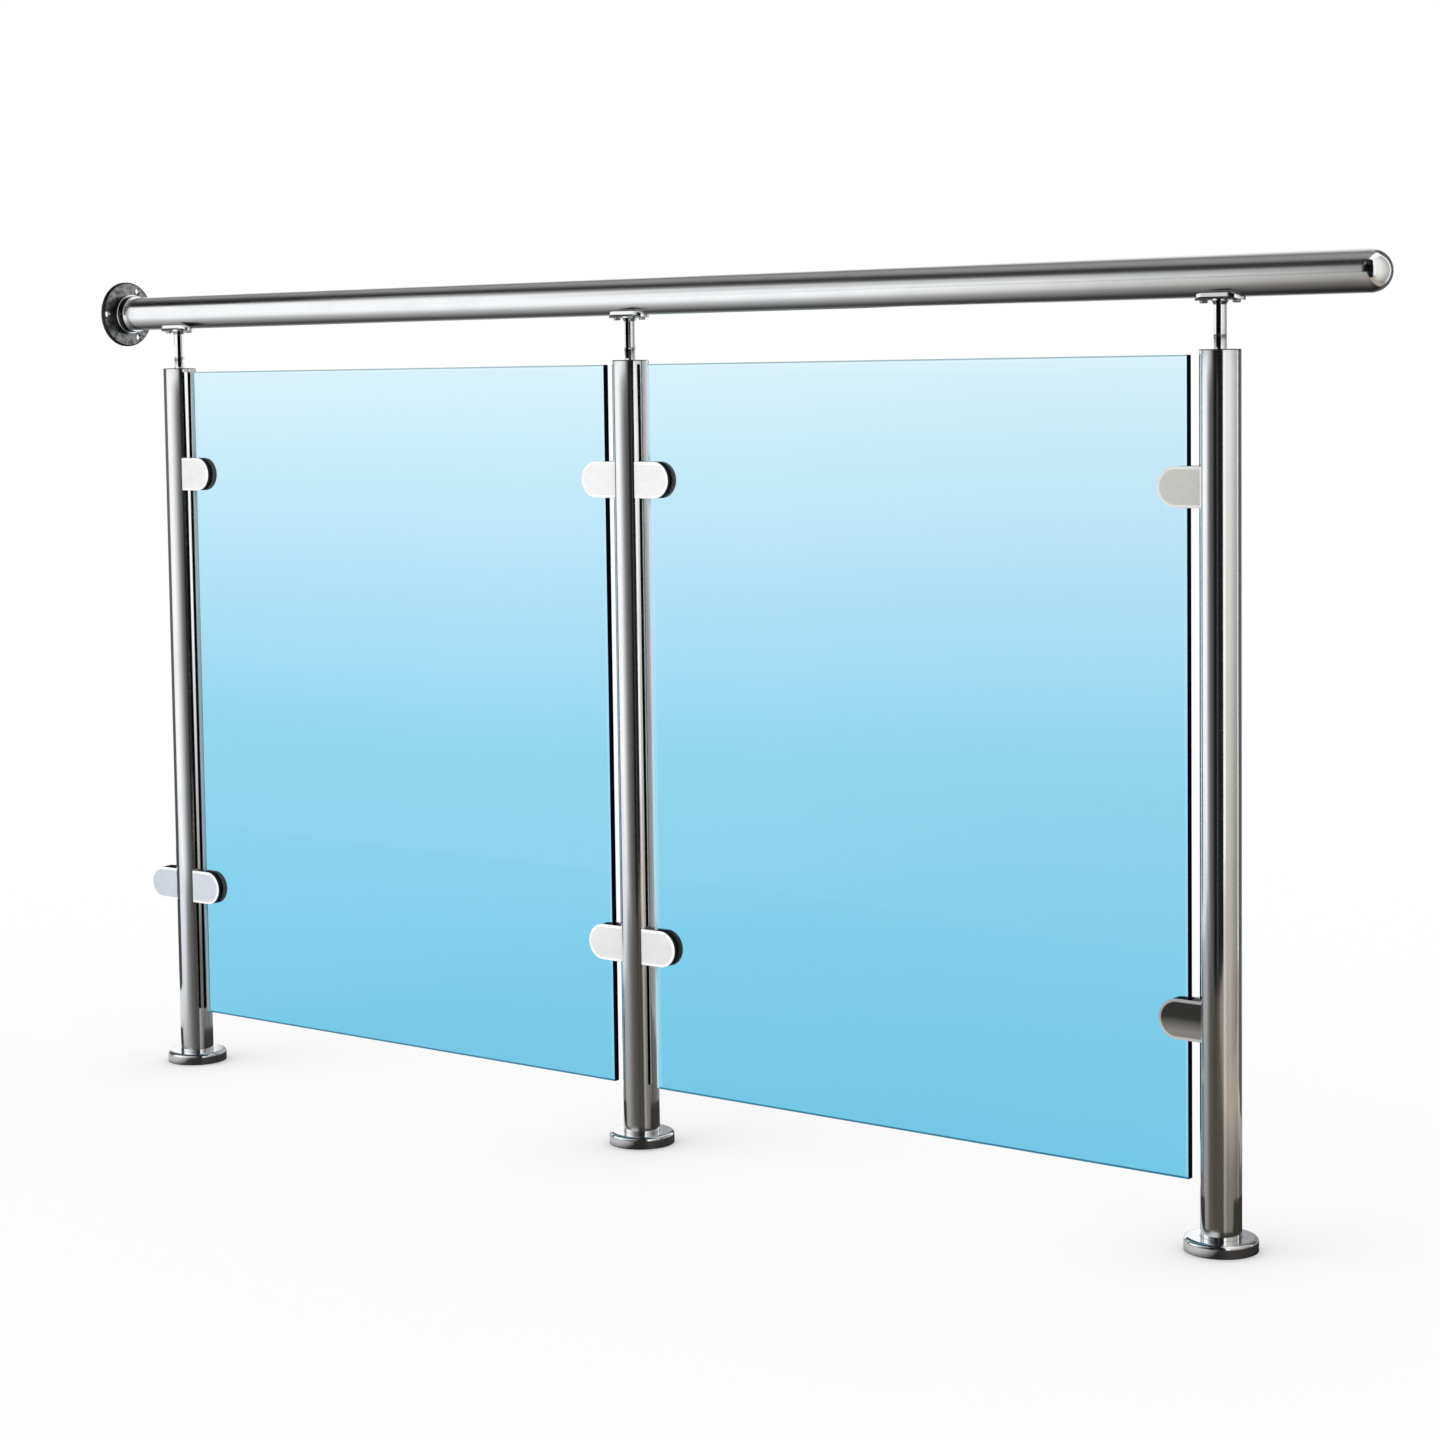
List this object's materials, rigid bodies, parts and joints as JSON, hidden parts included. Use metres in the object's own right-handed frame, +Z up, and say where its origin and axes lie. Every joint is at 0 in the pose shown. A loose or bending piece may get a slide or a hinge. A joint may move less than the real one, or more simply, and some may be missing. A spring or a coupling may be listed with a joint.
{
  "type": "glass railing section",
  "caption": "Glass balustrade section: round steel posts, D-shaped clamps holding glass panes, and a round handrail on stems with a wall flange.",
  "frame": {"origin": "on the floor at the middle post's axis", "axes": "+X along the handrail away from the wall, +Y away from the viewed side, +Z up"},
  "size_m": [1.8102, 0.084, 1.03],
  "materials": {
    "polished_steel": "polished",
    "satin_steel": "satin",
    "plate_steel": "mill",
    "screw_steel": "bright",
    "glass": "clear, ground edges",
    "rubber": "matte"
  },
  "bodies": {
    "railing": {"clamp_post_screws": "screw_steel", "clamp_screws": "screw_steel", "handrail_end_cap": "polished_steel", "handrail_tube": "polished_steel", "left_base_plate": "plate_steel", "left_glass_panel": "glass", "left_post_lower_left_clamp_body": "satin_steel", "left_post_lower_left_clamp_cover": "satin_steel", "left_post_lower_left_clamp_gaskets": "rubber", "left_post_lower_right_clamp_body": "satin_steel", "left_post_lower_right_clamp_cover": "satin_steel", "left_post_lower_right_clamp_gaskets": "rubber", "left_post_plug": "polished_steel", "left_post_tube": "polished_steel", "left_post_upper_right_clamp_body": "satin_steel", "left_post_upper_right_clamp_cover": "satin_steel", "left_post_upper_right_clamp_gaskets": "rubber", "left_saddle": "polished_steel", "left_stem": "polished_steel", "middle_base_plate": "plate_steel", "middle_post_lower_left_clamp_body": "satin_steel", "middle_post_lower_left_clamp_cover": "satin_steel", "middle_post_lower_left_clamp_gaskets": "rubber", "middle_post_lower_right_clamp_body": "satin_steel", "middle_post_lower_right_clamp_cover": "satin_steel", "middle_post_lower_right_clamp_gaskets": "rubber", "middle_post_plug": "polished_steel", "middle_post_tube": "polished_steel", "middle_post_upper_left_clamp_body": "satin_steel", "middle_post_upper_left_clamp_cover": "satin_steel", "middle_post_upper_left_clamp_gaskets": "rubber", "middle_post_upper_right_clamp_body": "satin_steel", "middle_post_upper_right_clamp_cover": "satin_steel", "middle_post_upper_right_clamp_gaskets": "rubber", "middle_saddle": "polished_steel", "middle_stem": "polished_steel", "right_base_plate": "plate_steel", "right_glass_panel": "glass", "right_post_lower_left_clamp_body": "satin_steel", "right_post_lower_left_clamp_cover": "satin_steel", "right_post_lower_left_clamp_gaskets": "rubber", "right_post_plug": "polished_steel", "right_post_tube": "polished_steel", "right_post_upper_left_clamp_body": "satin_steel", "right_post_upper_left_clamp_cover": "satin_steel", "right_post_upper_left_clamp_gaskets": "rubber", "right_saddle": "polished_steel", "right_stem": "polished_steel", "saddle_screws": "screw_steel", "wall_flange": "polished_steel"},
    "left_base_cover": {"left_base_cover": "polished_steel"},
    "middle_base_cover": {"middle_base_cover": "polished_steel"},
    "right_base_cover": {"right_base_cover": "polished_steel"}
  },
  "joints": [
    {"name": "left_base_cover_lift", "type": "slide", "parent": "railing", "child": "left_base_cover", "axis": [0, 0, 1], "range_m": [0, 0.05]},
    {"name": "middle_base_cover_lift", "type": "slide", "parent": "railing", "child": "middle_base_cover", "axis": [0, 0, 1], "range_m": [0, 0.05]},
    {"name": "right_base_cover_lift", "type": "slide", "parent": "railing", "child": "right_base_cover", "axis": [0, 0, 1], "range_m": [0, 0.05]}
  ]
}
